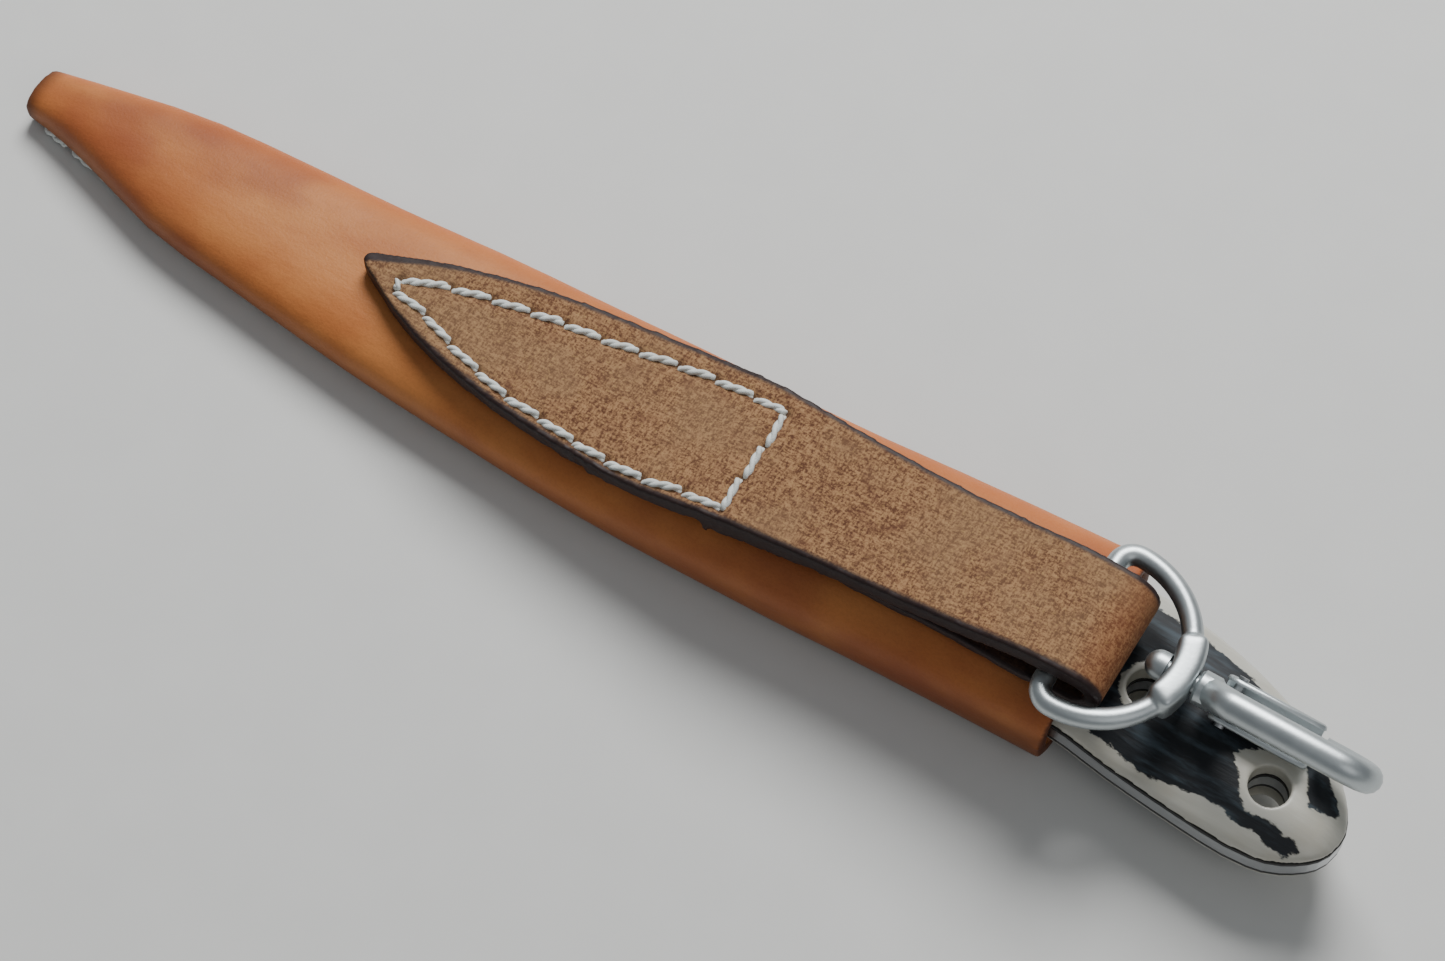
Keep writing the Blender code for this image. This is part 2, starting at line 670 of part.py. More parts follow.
def gate_side():
    """The channel's side view about the pin, in XZ."""
    floor, rim = GATE_BOTTOM - GATE_PIVOT[1], GATE_RIM - GATE_PIVOT[1]
    end = GATE_END_X - GATE_PIVOT[0]
    return [(-2.0, floor + 0.9), (-1.2, floor), (end - 0.9, floor), (end, floor + 0.9), (end, floor + 1.9),
            (end - 2.2, rim), (-0.6, rim), (-2.0, rim - 1.0)]


channel = bevelled("channel", placed(plate("channel", gate_side(), GATE_WIDTH), turn=ACROSS_Y), EDGE_ROUNDING)
inside_low = GATE_BOTTOM - GATE_PIVOT[1] + GATE_SHEET
inside = box("inside", (-9.0, -GATE_WIDTH / 2 + GATE_SHEET, inside_low), (30.0, GATE_WIDTH / 2 - GATE_SHEET, 9.0))
gate_way = placed(cylinder("way", GATE_PIN_RADIUS + THIN_GAP, SHORT_DRILL_LENGTH), turn=ACROSS_Y)
piece("gate", cut("gate", channel, [inside, gate_way]), SATIN_STEEL, gate_axis)

piece("gate_spring", tube("spring", SPRING_ROUTE, SPRING_RADIUS, sides=1), SATIN_STEEL, hook_axis)
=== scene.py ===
import math

import bmesh
import bpy
import numpy as np
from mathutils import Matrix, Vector, noise
from mathutils.bvhtree import BVHTree


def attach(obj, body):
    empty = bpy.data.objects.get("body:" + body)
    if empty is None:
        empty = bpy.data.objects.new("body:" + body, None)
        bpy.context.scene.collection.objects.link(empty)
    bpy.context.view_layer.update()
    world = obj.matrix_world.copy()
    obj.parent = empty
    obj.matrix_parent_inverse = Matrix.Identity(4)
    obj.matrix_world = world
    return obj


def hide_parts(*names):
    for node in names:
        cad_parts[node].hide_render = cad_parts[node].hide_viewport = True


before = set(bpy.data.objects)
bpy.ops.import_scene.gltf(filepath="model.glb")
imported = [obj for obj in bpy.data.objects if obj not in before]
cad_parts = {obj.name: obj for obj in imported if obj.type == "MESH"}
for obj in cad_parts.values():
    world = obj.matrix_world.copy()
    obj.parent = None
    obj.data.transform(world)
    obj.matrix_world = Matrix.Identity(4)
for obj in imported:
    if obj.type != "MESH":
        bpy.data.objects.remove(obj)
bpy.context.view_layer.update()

# Camera and studio.
# The knife lies strap side up on a pale table, under one broad soft lamp and a weak fill,
# and is seen from its near side and a little from the butt.
CAMERA_ELEVATION = math.radians(62)
CAMERA_TURN = math.radians(32)
CAMERA_DISTANCE = 0.4012
VIEW_CENTRE = Vector((0.01502, -0.00626, 0.016))

sight = Vector((
    -math.sin(CAMERA_TURN) * math.cos(CAMERA_ELEVATION),
    math.cos(CAMERA_TURN) * math.cos(CAMERA_ELEVATION),
    -math.sin(CAMERA_ELEVATION),
))
lens = bpy.data.cameras.new("camera")
lens.lens = 74.96
lens.sensor_width = 36
camera = bpy.data.objects.new("camera", lens)
camera.location = VIEW_CENTRE - sight * CAMERA_DISTANCE
camera.rotation_euler = sight.to_track_quat("-Z", "Y").to_euler()
bpy.context.scene.collection.objects.link(camera)
bpy.context.scene.camera = camera


def hang_lamp(name, place, size, power):
    lamp = bpy.data.lights.new(name, "AREA")
    lamp.shape = "DISK"
    lamp.size = size
    lamp.energy = power
    hung = bpy.data.objects.new(name, lamp)
    hung.location = place
    hung.rotation_euler = (-Vector(place)).to_track_quat("-Z", "Y").to_euler()
    bpy.context.scene.collection.objects.link(hung)


hang_lamp("key_lamp", (-0.15, 0.55, 0.70), 0.50, 10.5)
hang_lamp("fill_lamp", (0.6, -0.3, 0.7), 0.6, 0.9)

room = bpy.data.worlds.new("room")
room.use_nodes = True
room.node_tree.nodes["Background"].inputs["Color"].default_value = (0.9, 0.95, 1.0, 1)
room.node_tree.nodes["Background"].inputs["Strength"].default_value = 0.22
bpy.context.scene.world = room


class Shade:
    """A material's socket that takes part in arithmetic. node() adds any other node."""

    def __init__(self, tree, socket=None):
        self.tree = tree
        self.socket = socket

    def node(self, kind, settings=None, inputs=None, output=0):
        made = self.tree.nodes.new("ShaderNode" + kind)
        for name, value in (settings or {}).items():
            setattr(made, name, value)
        for name, value in (inputs or {}).items():
            if isinstance(value, Shade):
                self.tree.links.new(value.socket, made.inputs[name])
            else:
                made.inputs[name].default_value = value
        return Shade(self.tree, made.outputs[output])

    def math(self, operation, first, second):
        return self.node("Math", {"operation": operation}, {0: first, 1: second})

    def __add__(self, other):
        return self.math("ADD", self, other)

    def __radd__(self, other):
        return self.math("ADD", other, self)

    def __sub__(self, other):
        return self.math("SUBTRACT", self, other)

    def __rsub__(self, other):
        return self.math("SUBTRACT", other, self)

    def __mul__(self, other):
        return self.math("MULTIPLY", self, other)

    def __rmul__(self, other):
        return self.math("MULTIPLY", other, self)


def start_finish(name):
    """A new material, and a loose Shade to build its nodes from."""
    material = bpy.data.materials.new(name)
    material.use_nodes = True
    return material, Shade(material.node_tree)


def set_finish(material, varying, fixed):
    surface = material.node_tree.nodes["Principled BSDF"]
    for name, value in varying.items():
        material.node_tree.links.new(value.socket, surface.inputs[name])
    for name, value in fixed.items():
        surface.inputs[name].default_value = value


def grown(shade, place, scale, detail=3.0, roughness=0.55):
    """Noise over place, with scale in features per metre."""
    inputs = {"Vector": place, "Scale": scale, "Detail": detail, "Roughness": roughness}
    return shade.node("TexNoise", None, inputs)


def blended(shade, amount, first, second):
    return shade.node("Mix", {"data_type": "RGBA"}, {0: amount, 6: first, 7: second}, 2)


def object_place(shade):
    return shade.node("TexCoord", None, None, 3)


table_finish, shade = start_finish("pale_table")
speckle = grown(shade, object_place(shade), 90)
set_finish(
    table_finish,
    {"Base Color": blended(shade, speckle, (0.66, 0.66, 0.64, 1), (0.71, 0.71, 0.69, 1))},
    {"Roughness": 0.8},
)
bpy.ops.mesh.primitive_plane_add(size=6)
table_top = bpy.context.object
table_top.name = "table_top"
table_top.data.materials.append(table_finish)

# Pouch sheath.
# One sheet of 2.5 mm vegetable-tanned leather, wetted and pressed round the knife, smooth side out.
# It is burnished dark at the mouth and at the tip. Its sides and undersides, which turn from the lamp, carry
# painted shade, and the mouth's burnishing is laid on those shaded faces only; the far side carries a painted
# highlight.
MM = 0.001
TIP_TO_CENTRE = Vector((-108.98, 0.14, 0)) * MM
SHEATH_GRID = 0.55 * MM
MOUTH = 178.0
HIDE_WAVE = 0.22
TAN = (0.46, 0.150, 0.042, 1)
RUSSET = (0.27, 0.062, 0.024, 1)
HONEY = (0.55, 0.205, 0.060, 1)
BURNISHED = (0.075, 0.020, 0.007, 1)


def from_cad(name, node, grid, smoothing):
    """A fine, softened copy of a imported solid, as a new object."""
    rough = bpy.data.objects.new(name + "_rough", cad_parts[node].data.copy())
    bpy.context.scene.collection.objects.link(rough)
    remesh = rough.modifiers.new("grid", "REMESH")
    remesh.mode = "VOXEL"
    remesh.voxel_size = grid
    soften = rough.modifiers.new("soften", "SMOOTH")
    soften.factor = 0.5
    soften.iterations = smoothing
    bpy.context.view_layer.update()
    fine = bpy.data.meshes.new_from_object(rough.evaluated_get(bpy.context.evaluated_depsgraph_get()))
    bpy.data.objects.remove(rough)
    fine.materials.clear()
    fine.name = name
    for face in fine.polygons:
        face.use_smooth = True
    made = bpy.data.objects.new(name, fine)
    bpy.context.scene.collection.objects.link(made)
    return made


def points_of(piece):
    """The piece's points in millimetres from the sheath's tip, and their normals."""
    count = len(piece.data.vertices)
    place = np.empty(count * 3)
    facing = np.empty(count * 3)
    piece.data.vertices.foreach_get("co", place)
    piece.data.vertices.foreach_get("normal", facing)
    return (place.reshape(-1, 3) - np.array(TIP_TO_CENTRE)) / MM, facing.reshape(-1, 3)


def set_points(piece, place):
    piece.data.vertices.foreach_set("co", (place * MM + np.array(TIP_TO_CENTRE)).reshape(-1))
    piece.data.update()


def store(piece, name, values):
    piece.data.attributes.new(name, "FLOAT", "POINT").data.foreach_set("value", values.astype(np.float32))


def eased(value, low, high):
    share = np.clip((value - low) / (high - low), 0, 1)
    return share * share * (3 - 2 * share)


def ripples(place, scale, seed):
    return np.array([noise.noise(Vector(p) * scale + Vector((seed, 0, 0))) for p in place])


def stretched(shade, place, along, across, up):
    return shade.node("VectorMath", {"operation": "MULTIPLY"}, {0: place, 1: (along, across, up)})


def between(shade, value, low, high):
    """0 below low and 1 above high, with a soft turn."""
    return shade.node("MapRange", {"interpolation_type": "SMOOTHSTEP"},
                      {"Value": value, "From Min": low, "From Max": high})


def raised(shade, height, strength, depth):
    return shade.node("Bump", None, {"Height": height, "Strength": strength, "Distance": depth})


def held(shade, name):
    """A value stored on the mesh's points."""
    return shade.node("Attribute", {"attribute_name": name}, None, 2)


sheath = from_cad("sheath_leather", "sheath_body", SHEATH_GRID, 6)
place, facing = points_of(sheath)
place = place + facing * (ripples(place, 0.045, 4.0) * HIDE_WAVE)[:, None]
place[:, 2] = np.maximum(place[:, 2], 0)
set_points(sheath, place)
# Painted shade: faces turned sideways or down, away from the lamp, are stored for darkening.
store(sheath, "underside_shade", 1 - eased(facing[:, 2], -0.35, 0.55))
store(sheath, "mouth", eased(place[:, 0], MOUTH - 26, MOUTH - 1))
store(sheath, "cut_edge", np.maximum(eased(np.abs(facing[:, 0]), 0.55, 0.85), 1 - eased(place[:, 0], 0, 3.5)))
# Painted highlight: faces turned to the far side, towards the key lamp, are stored for lightening.
store(sheath, "far_side_highlight", eased(facing[:, 1], 0.1, 0.8))

leather, shade = start_finish("tan_leather")
grain_place = object_place(shade)
cloud = between(shade, grown(shade, stretched(shade, grain_place, 0.45, 1, 1), 95, 4), 0.36, 0.64)
smoky = between(shade, grown(shade, stretched(shade, grain_place, 0.6, 1, 1), 48, 3), 0.48, 0.70)
pores = grown(shade, grain_place, 2600, 3, 0.6)
creases = grown(shade, stretched(shade, grain_place, 0.35, 1, 1), 700, 4, 0.6)
underside_shade = held(shade, "underside_shade")
mouth = held(shade, "mouth")
edge = held(shade, "cut_edge")
hide_color = blended(shade, cloud, TAN, HONEY)
hide_color = blended(shade, smoky * 0.72, hide_color, RUSSET)
hide_color = blended(shade, 0.10 - 0.10 * between(shade, pores, 0.30, 0.60), hide_color, BURNISHED)
# Painted highlight: a brighter orange on the far side, which faces the lamp.
hide_color = blended(shade, held(shade, "far_side_highlight") * 0.5, hide_color, (0.60, 0.15, 0.035, 1))
# Painted shade darkens the sides and undersides.
hide_color = blended(shade, underside_shade * 0.70, hide_color, (0.17, 0.046, 0.011, 1))
# The mouth's burnishing, laid only on the shaded faces, so it is partly real wear and partly painted shade.
hide_color = blended(shade, mouth * underside_shade * 0.55, hide_color, BURNISHED)
hide_color = blended(shade, edge * 0.85, hide_color, BURNISHED)
hide_relief = pores * 0.35 + creases * 0.65
set_finish(
    leather,
    {
        "Base Color": hide_color,
        "Roughness": 0.40 + 0.16 * creases + 0.12 * edge,
        "Normal": raised(shade, hide_relief, 0.55, 0.00020),
    },
    {"Specular IOR Level": 0.28},
)
sheath.data.materials.append(leather)
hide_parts("sheath_body")
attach(sheath, "sheath")

# Welt.
# A strip of the same hide glued into the sheath's near side, which keeps the blade off the stitches.
# It is only seen from inside the pouch, and it is plain, dry and a little fibrous.
welt_finish, shade = start_finish("welt_leather")
welt_place = object_place(shade)
fibres = grown(shade, stretched(shade, welt_place, 0.3, 1, 1), 1500, 4)
set_finish(
    welt_finish,
    {
        "Base Color": blended(shade, fibres, (0.24, 0.09, 0.035, 1), (0.42, 0.19, 0.08, 1)),
        "Normal": raised(shade, fibres, 0.5, 0.0002),
    },
    {"Roughness": 0.85},
)


def refinish(nodes, finish):
    """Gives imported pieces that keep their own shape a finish."""
    for node in nodes:
        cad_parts[node].data.materials.clear()
        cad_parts[node].data.materials.append(finish)


refinish(("sheath_welt",), welt_finish)

# Hanger strap.
# One strip of 2.8 mm leather, rough side out, cut to a leaf at one end and folded round the snap's bar.
# Its edges are rounded, dyed nearly black and rubbed hard, and the stitches draw the leaf down. The
# folded-back lower layer is painted near-black as painted shade between the two layers.
STRAP_GRID = 0.34 * MM
LEAF_LENGTHS = (61.8, 63, 66, 70, 76, 83, 91, 100, 112, 122, 131, 142, 155, 168, 182)
LEAF_HALVES = (0.5, 1.4, 2.7, 4.6, 6.7, 8.5, 9.9, 10.8, 11.6, 11.4, 10.7, 9.9, 9.3, 8.9, 8.4)
STRAP_MIDDLE = -2.4
ROW_DEPTH, ROW_WIDTH = 0.30, 0.9
DIMPLE_DEPTH, DIMPLE_WIDTH = 0.35, 0.55
FRAYED_AT, FRAYED_REACH = 106, 5
FAR_HOLES = (
    (68.5, -2.1), (75.4, 0.2), (81.3, 1.5), (87.1, 2.5), (92.2, 3.3), (97.9, 3.8),
    (103.6, 4.6), (109.4, 5.4), (115.2, 5.8), (121.5, 5.5), (126.9, 5.1),
)
END_HOLES = ((126.9, 5.1), (127.0, -0.6), (127.0, -6.2), (127.0, -11.8))
NEAR_HOLES = (
    (127.0, -11.8), (121.0, -11.7), (114.9, -12.3), (109.0, -12.2), (103.6, -11.8), (97.5, -11.0),
    (91.7, -10.5), (86.1, -9.1), (80.3, -7.4), (74.7, -5.2), (68.7, -4.0), (68.5, -2.1),
)
box_holes = FAR_HOLES + END_HOLES[1:] + NEAR_HOLES[1:]


def row_distance(place, holes):
    """How far each point is, in plan, from the stitch row and from its nearest hole."""
    flat = place[:, :2]
    to_row = np.full(len(flat), 99.0)
    to_hole = np.full(len(flat), 99.0)
    for start, end in zip(holes, holes[1:]):
        a, b = np.array(start), np.array(end)
        share = np.clip(((flat - a) @ (b - a)) / ((b - a) @ (b - a)), 0, 1)
        to_row = np.minimum(to_row, np.linalg.norm(flat - a - share[:, None] * (b - a), axis=1))
        to_hole = np.minimum(to_hole, np.linalg.norm(flat - a, axis=1))
    return to_row, to_hole


strap = from_cad("strap_leather", "hanger_strap", STRAP_GRID, 7)
place, facing = points_of(strap)
half = np.interp(place[:, 0], LEAF_LENGTHS, LEAF_HALVES)
margin = half - np.abs(place[:, 1] - STRAP_MIDDLE)
to_row, to_hole = row_distance(place, box_holes)
upward = eased(facing[:, 2], 0.3, 0.8)
sunk = ROW_DEPTH * np.exp(-((to_row / ROW_WIDTH) ** 2))
sunk += DIMPLE_DEPTH * np.exp(-((to_hole / DIMPLE_WIDTH) ** 2))
rubbed = 1 - eased(margin, 0.2, 1.6)
frayed = np.exp(-(((place[:, 0] - FRAYED_AT) / FRAYED_REACH) ** 2)) * (place[:, 1] < STRAP_MIDDLE)
between_layers = np.interp(place[:, 0], (124, 140, 155, 172), (15.5, 17.6, 18.9, 19.6))
lower_layer = (place[:, 2] < between_layers) & (place[:, 0] > 126)
tuck = 0.07 + 0.20 * (1 - eased(place[:, 0], 126, 152))
tuck = np.where(lower_layer, tuck * (1 - eased(place[:, 0], 160, 172)), 0)
place[:, 1] -= (place[:, 1] - STRAP_MIDDLE) * tuck
place[:, 2] -= sunk * upward
place = place + facing * (ripples(place, 0.9, 8.0) * (0.07 + 0.30 * frayed) * rubbed)[:, None]
set_points(strap, place)
# Dark mask: the dyed edges and side walls, which are real dye, and the whole lower layer, which is painted
# shade.
store(strap, "dyed_rim_and_shade", np.maximum.reduce([
    1 - eased(margin, 0.55, 1.15), eased(np.abs(facing[:, 1]), 0.35, 0.7), lower_layer * 0.9
]))
# Painted shade: a dark spot in each stitch hole's recess on the upper faces.
store(strap, "hole_shade", np.exp(-((to_hole / 0.6) ** 2)) * upward)
store(strap, "fold", eased(place[:, 0], 176, 182))

suede, shade = start_finish("rough_leather")
nap_place = object_place(shade)
nap = grown(shade, nap_place, 3300, 5, 0.70)
laid = grown(shade, stretched(shade, nap_place, 1, 0.28, 1), 3000, 3, 0.6)
crossed = grown(shade, stretched(shade, nap_place, 0.28, 1, 1), 2700, 3, 0.6)
clumps = grown(shade, nap_place, 420, 4, 0.6)
patches = between(shade, grown(shade, nap_place, 70, 3), 0.38, 0.62)
flecks = between(shade, grown(shade, nap_place, 2100, 2, 0.5), 0.58, 0.72)
dyed_rim_and_shade = held(shade, "dyed_rim_and_shade")
fuzz = nap * 0.4 + laid * 0.3 + crossed * 0.3
pile = between(shade, fuzz, 0.42, 0.58)
suede_color = blended(shade, pile, (0.105, 0.042, 0.021, 1), (0.37, 0.205, 0.098, 1))
suede_color = blended(shade, between(shade, clumps, 0.50, 0.72) * 0.45, suede_color, (0.13, 0.052, 0.030, 1))
suede_color = blended(shade, patches * 0.30, suede_color, (0.29, 0.185, 0.098, 1))
suede_color = blended(shade, flecks * 0.40, suede_color, (0.46, 0.28, 0.115, 1))
suede_color = blended(shade, held(shade, "fold") * 0.45, suede_color, (0.22, 0.065, 0.022, 1))
# Painted shade darkens the stitch holes.
suede_color = blended(shade, held(shade, "hole_shade") * 0.85, suede_color, (0.03, 0.013, 0.006, 1))
# Near-black dye on the edges, and painted shade on the lower layer.
suede_color = blended(shade, dyed_rim_and_shade * 0.96, suede_color, (0.016, 0.009, 0.011, 1))
set_finish(
    suede,
    {
        "Base Color": suede_color,
        "Roughness": 0.92 - 0.42 * dyed_rim_and_shade,
        "Normal": raised(shade, (fuzz * 0.7 + clumps * 0.3) * (1 - dyed_rim_and_shade * 0.8), 0.55, 0.0003),
    },
    {"Specular IOR Level": 0.25},
)
strap.data.materials.append(suede)
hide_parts("hanger_strap")
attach(strap, "sheath")

# Stitches.
# Saddle stitches in white waxed thread, two plies twisted together, each dipping into its own hole.
# One closed box sews the leaf to the sheath, and a long row closes the sheath along its near side.
PLY_RADIUS = 0.42
PLY_OFFSET = 0.21
TWIST_LENGTH = 4.2
STITCH_STEPS = 18
PLY_SIDES = 8
LEAF_LIFT = 0.42
SEAM_LIFT = 0.05
HOLE_DEPTH = 0.75
STITCH_INSET = 0.12
STITCH_RISE = 4.5
SEAM_PITCH = 5.8
SEAM_INSET = 0.3
ABOVE_TABLE = 0.02

thread_finish, shade = start_finish("waxed_thread")
thread_place = object_place(shade)
lint = grown(shade, thread_place, 3200, 3)
grime = between(shade, grown(shade, thread_place, 260, 2), 0.45, 0.75)
thread_color = blended(shade, lint, (0.58, 0.61, 0.58, 1), (0.80, 0.83, 0.80, 1))
thread_color = blended(shade, grime * 0.35, thread_color, (0.52, 0.46, 0.36, 1))
set_finish(
    thread_finish,
    {"Base Color": thread_color, "Normal": raised(shade, lint, 0.5, 0.00012)},
    {"Roughness": 0.62},
)


def surface_tree(piece):
    place, _ = points_of(piece)
    return BVHTree.FromPolygons([Vector(p) for p in place], [tuple(f.vertices) for f in piece.data.polygons])


def sewn(name, pairs, lean, lift):
    """Every stitch of a row. A pair is a stitch's two ends on the leather, with the outward direction."""
    places, faces = [], []
    for (start, start_out), (end, end_out) in pairs:
        run = (end - start).normalized()
        aside = run.cross(start_out).normalized()
        start = start + run * STITCH_INSET + aside * lean
        end = end - run * STITCH_INSET - aside * lean
        for ply in range(2):
            first = len(places)
            for step in range(STITCH_STEPS):
                share = step / (STITCH_STEPS - 1)
                out = start_out.lerp(end_out, share).normalized()
                hump = min(1, STITCH_RISE * share, STITCH_RISE * (1 - share))
                middle = start.lerp(end, share) + out * (lift - (1 - hump) ** 2 * HOLE_DEPTH)
                side = run.cross(out).normalized()
                turn = math.pi * ply + 2 * math.pi * share * (end - start).length / TWIST_LENGTH
                core = middle + (side * math.cos(turn) + out * math.sin(turn)) * PLY_OFFSET
                for corner in range(PLY_SIDES):
                    around = 2 * math.pi * corner / PLY_SIDES
                    places.append(core + (side * math.cos(around) + out * math.sin(around)) * PLY_RADIUS)
            for step in range(STITCH_STEPS - 1):
                for corner in range(PLY_SIDES):
                    a = first + step * PLY_SIDES + corner
                    b = first + step * PLY_SIDES + (corner + 1) % PLY_SIDES
                    faces.append((a, b, b + PLY_SIDES, a + PLY_SIDES))
            faces.append(tuple(first + c for c in reversed(range(PLY_SIDES))))
            last = first + (STITCH_STEPS - 1) * PLY_SIDES
            faces.append(tuple(last + c for c in range(PLY_SIDES)))
    mesh = bpy.data.meshes.new(name)
    mesh.from_pydata([p * MM + TIP_TO_CENTRE for p in places], [], faces)
    for face in mesh.polygons:
        face.use_smooth = True
    mesh.materials.append(thread_finish)
    made = bpy.data.objects.new(name, mesh)
    bpy.context.scene.collection.objects.link(made)
    return made


strap_surface = surface_tree(strap)


def on_leaf(x, y):
    hit = strap_surface.ray_cast(Vector((x, y, 40)), Vector((0, 0, -1)))[0]
    return hit, Vector((0, 0, 1))


leaf_ends = [on_leaf(x, y) for x, y in box_holes]
strap_stitches = sewn("strap_stitches", list(zip(leaf_ends, leaf_ends[1:])), 0.30, LEAF_LIFT)
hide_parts("strap_thread")
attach(strap_stitches, "sheath")

thread_points = np.array([v.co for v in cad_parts["sheath_thread"].data.vertices])
thread_points = (thread_points - np.array(TIP_TO_CENTRE)) / MM
seam_start, seam_end = thread_points[:, 0].min(), thread_points[:, 0].max()
seam_count = int((seam_end - seam_start) / SEAM_PITCH)
sheath_surface = surface_tree(sheath)
seam_ends = []
for x in np.linspace(seam_start + SEAM_INSET, seam_end - SEAM_INSET, seam_count + 1):
    near_x = thread_points[np.argsort(np.abs(thread_points[:, 0] - x))[:8]]
    spot, out, _, _ = sheath_surface.find_nearest(Vector((x, near_x[:, 1].mean(), near_x[:, 2].mean())))
    seam_ends.append((spot, out))
seam_stitches = sewn("seam_stitches", list(zip(seam_ends, seam_ends[1:])), 0.15, SEAM_LIFT)
place, _ = points_of(seam_stitches)
place[:, 2] = np.maximum(place[:, 2], ABOVE_TABLE)
set_points(seam_stitches, place)
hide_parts("sheath_thread")
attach(seam_stitches, "sheath")

# Blade with its tang, and the pins.
# Ground from one bar of steel, with a fine scratch along its length, and two pins ground flush.
# Only the tang's rim shows between the scales until the knife is drawn.
steel, shade = start_finish("ground_steel")
steel_place = object_place(shade)
drawn_lines = grown(shade, stretched(shade, steel_place, 0.03, 1, 1), 5200, 3, 0.6)
haze = grown(shade, steel_place, 120, 3)
set_finish(
    steel,
    {
        "Base Color": blended(shade, haze, (0.50, 0.51, 0.52, 1), (0.66, 0.67, 0.68, 1)),
        "Roughness": 0.24 + 0.22 * drawn_lines,
        "Normal": raised(shade, drawn_lines, 0.18, 0.00005),
    },
    {"Metallic": 1.0},
)
refinish(("blade", "handle_pin_front", "handle_pin_rear"), steel)

# Liners.
# Half-millimetre black fibre sheet glued between the tang and each scale, seen as a thin dark line.
fibre, shade = start_finish("black_fibre")
layers = grown(shade, stretched(shade, object_place(shade), 0.2, 0.2, 3), 1800, 3)
set_finish(
    fibre,
    {
        "Base Color": blended(shade, layers, (0.012, 0.012, 0.013, 1), (0.05, 0.048, 0.045, 1)),
        "Normal": raised(shade, layers, 0.3, 0.00008),
    },
    {"Roughness": 0.6},
)
refinish(("liner_upper", "liner_lower"), fibre)

# Handle scales.
# Bone slabs rounded over and polished. The dark bark is left in the hollows of the crown,
# and is cut through to cream bone along the rims and round both cord holes.
SCALE_GRID = 0.28 * MM
BARK_OUTLINE = (
    (140, -8.6), (165, -9.2), (178, -10.2), (183.8, -10.9), (187.1, -11.5), (190.6, -12.4), (192.7, -12.3),
    (195.8, -12.0), (199.0, -11.6), (202.0, -11.6), (204.6, -12.3), (207.6, -12.4), (209.4, -13.0),
    (211.5, -12.9), (213.1, -11.6), (211.8, -10.4), (210.2, -10.9), (208.6, -9.8), (205.6, -10.4),
    (203.6, -9.4), (201.6, -6.4), (200.2, -3.6), (204.2, -1.2), (207.0, 1.4),
    (203.5, 3.6), (197, 6.8), (188, 8.8), (178, 9.8), (160, 9.2), (140, 8.6),
)
BARK_PATCH = (
    (208.0, -0.2), (209.9, 0.1), (211.2, 0.1), (212.6, -1.6), (215.0, -3.8), (215.0, -5.1),
    (212.9, -5.6), (211.2, -5.7), (209.4, -2.3),
)
BARE_SQUARE = ((199.9, -4.4), (207.8, 0.3), (211.4, -7.3), (204.6, -10.6))
FORWARD_HOLE = (186.4, -2.0)
FORWARD_RIM = 3.9


def inside_by(flat, outline):
    """Distance inside an outline, negative outside it."""
    corners = np.array(outline, float)
    nearest = np.full(len(flat), 99.0)
    inside = np.zeros(len(flat), bool)
    for a, b in zip(corners, np.roll(corners, -1, axis=0)):
        share = np.clip(((flat - a) @ (b - a)) / ((b - a) @ (b - a)), 0, 1)
        nearest = np.minimum(nearest, np.linalg.norm(flat - a - share[:, None] * (b - a), axis=1))
        rises = (a[1] > flat[:, 1]) != (b[1] > flat[:, 1])
        crossing = a[0] + (flat[:, 1] - a[1]) * (b[0] - a[0]) / (b[1] - a[1] + 1e-12)
        inside ^= rises & (flat[:, 0] < crossing)
    return np.where(inside, nearest, -nearest)


bone, shade = start_finish("bark_bone")
bone_place = object_place(shade)
bone_streak = grown(shade, stretched(shade, bone_place, 0.12, 1, 1), 900, 4, 0.6)
bone_cloud = between(shade, grown(shade, bone_place, 130, 3), 0.40, 0.68)
ragged = grown(shade, stretched(shade, bone_place, 0.5, 1, 1), 1100, 4, 0.65)
furrows = grown(shade, stretched(shade, bone_place, 0.18, 1, 1), 520, 4, 0.6)
bark = between(shade, held(shade, "bark") + (ragged - 0.5) * 1.7, -0.12, 0.18)
bone_color = blended(shade, bone_streak, (0.42, 0.41, 0.35, 1), (0.62, 0.61, 0.55, 1))
bone_color = blended(shade, bone_cloud * 0.30, bone_color, (0.46, 0.40, 0.30, 1))
# Painted highlight: the bark's furrow ridges carry a bluish grey sheen in their colour.
ridge_highlight = between(shade, furrows, 0.46, 0.72)
bark_color = blended(shade, ridge_highlight, (0.009, 0.011, 0.014, 1), (0.055, 0.078, 0.096, 1))
set_finish(
    bone,
    {
        "Base Color": blended(shade, bark, bone_color, bark_color),
        "Roughness": 0.28 + 0.26 * bark + 0.10 * furrows,
        "Coat Weight": 0.25 - 0.24 * bark,
        "Normal": raised(shade, bark * -0.45 + furrows * bark * 0.55 + bone_streak * 0.06, 0.6, 0.0005),
    },
    {"Coat Roughness": 0.15, "Specular IOR Level": 0.35},
)
for side in ("upper", "lower"):
    scale = from_cad("handle_scale_" + side, "scale_" + side, SCALE_GRID, 4)
    place, facing = points_of(scale)
    flat = place[:, :2]
    bark_depth = np.maximum.reduce([inside_by(flat, o) for o in (BARK_OUTLINE, BARK_PATCH)])
    bark_depth = np.minimum(bark_depth, -inside_by(flat, BARE_SQUARE))
    forward_gap = np.hypot(flat[:, 0] - FORWARD_HOLE[0], flat[:, 1] - FORWARD_HOLE[1]) - FORWARD_RIM
    bark_depth = np.minimum(bark_depth, forward_gap)
    sideways = eased(np.abs(facing[:, 2]), 0.25, 0.55)
    store(scale, "bark", np.clip(bark_depth, -3, 3) * sideways - 3 * (1 - sideways))
    scale.data.materials.append(bone)
    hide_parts("scale_" + side)
    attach(scale, "knife")

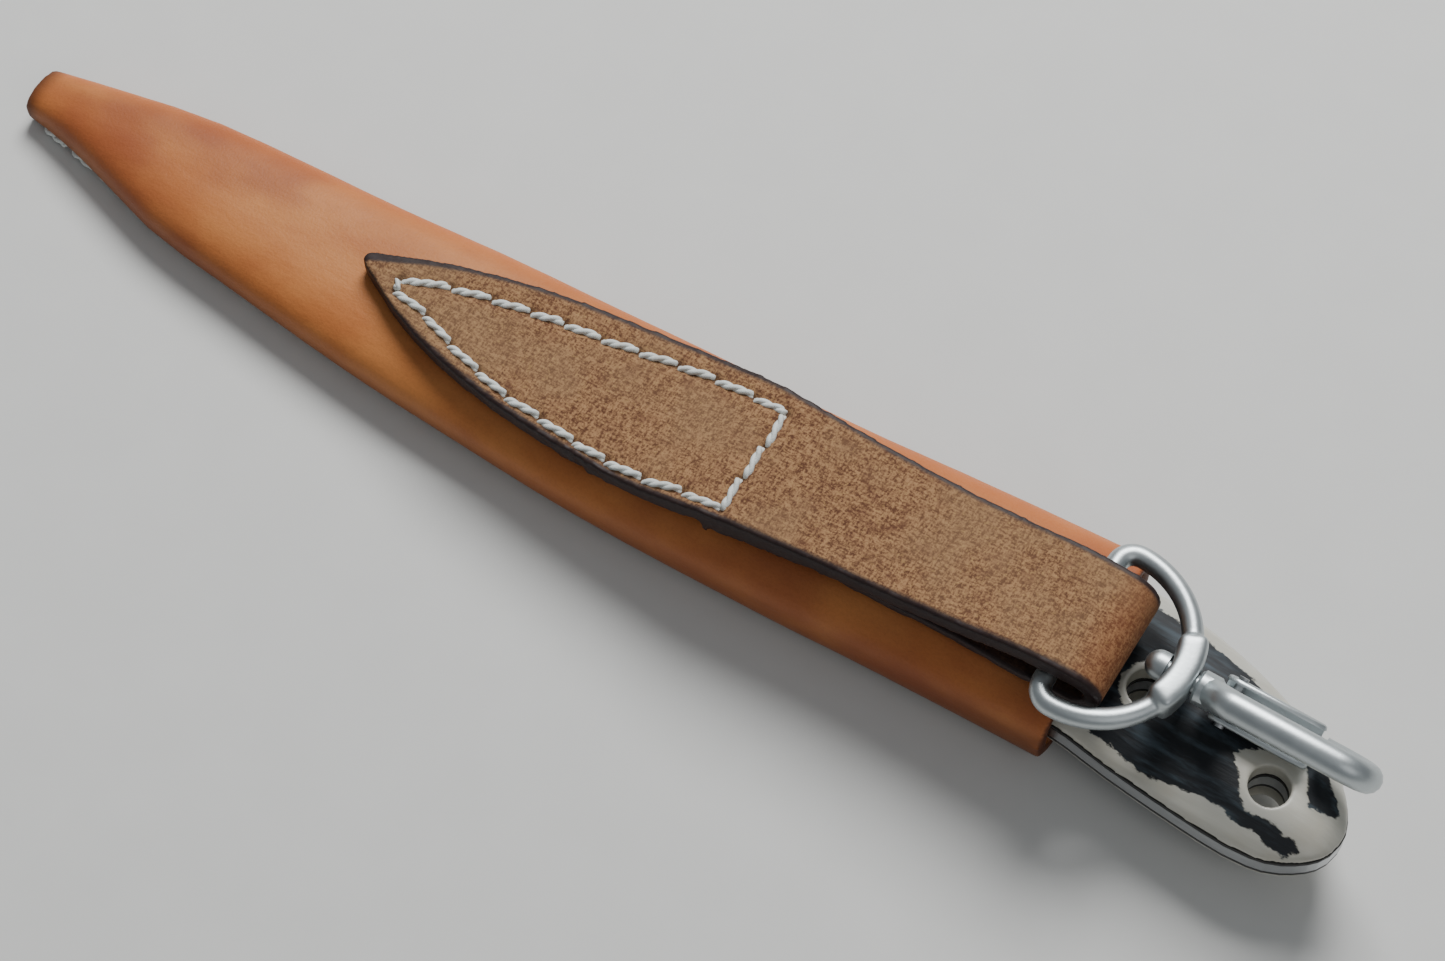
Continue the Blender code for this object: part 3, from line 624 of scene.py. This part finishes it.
# Swivel snap.
# Cast stainless steel with a satin tumbled skin: a D-shaped eye on a riveted swivel, and a hook
# with a sprung sheet-metal gate that closes its throat.
SNAP_GRID = 0.24 * MM
WELD = 0.01 * MM
EYE_LET_OUT = 0.19
satin, shade = start_finish("satin_steel")
satin_place = object_place(shade)
tumbled = grown(shade, satin_place, 2400, 4, 0.6)
smudges = grown(shade, satin_place, 240, 3)
scuffs = grown(shade, stretched(shade, satin_place, 0.12, 1, 1), 2100, 3)
set_finish(
    satin,
    {
        "Base Color": blended(shade, smudges, (0.45, 0.49, 0.50, 1), (0.60, 0.64, 0.65, 1)),
        "Roughness": 0.31 + 0.12 * smudges + 0.10 * tumbled,
        "Normal": raised(shade, tumbled * 0.7 + scuffs * 0.3, 0.22, 0.00007),
    },
    {"Metallic": 1.0},
)
eye = from_cad("snap_eye", "swivel_eye", SNAP_GRID, 34)
place, facing = points_of(eye)
set_points(eye, place + facing * EYE_LET_OUT)
eye.data.materials.append(satin)
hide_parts("swivel_eye")
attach(eye, "eye")


def polished(name, node, body, corner):
    """A welded copy of a packed steel piece that shades smooth but for edges sharper than corner."""
    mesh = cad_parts[node].data.copy()
    shape = bmesh.new()
    shape.from_mesh(mesh)
    bmesh.ops.remove_doubles(shape, verts=shape.verts, dist=WELD)
    for line in shape.edges:
        line.smooth = line.calc_face_angle(0) < corner
    for face in shape.faces:
        face.smooth = True
    shape.to_mesh(mesh)
    shape.free()
    mesh.materials.clear()
    mesh.materials.append(satin)
    made = bpy.data.objects.new(name, mesh)
    bpy.context.scene.collection.objects.link(made)
    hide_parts(node)
    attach(made, body)


polished("snap_rivet", "swivel_rivet", "hook", math.radians(50))
polished("snap_hook", "hook_body", "hook", math.radians(34))
polished("snap_gate", "gate", "gate", math.radians(34))

# Gate pin and spring.
# A plain steel pin riveted across the lug, and a bent wire that pushes the gate shut from inside it.
wire, shade = start_finish("spring_wire")
wire_lines = grown(shade, stretched(shade, object_place(shade), 0.1, 1, 1), 3600, 3)
set_finish(
    wire,
    {
        "Base Color": blended(shade, wire_lines, (0.30, 0.31, 0.32, 1), (0.52, 0.53, 0.54, 1)),
        "Roughness": 0.25 + 0.2 * wire_lines,
    },
    {"Metallic": 1.0},
)
refinish(("gate_pin", "gate_spring"), wire)
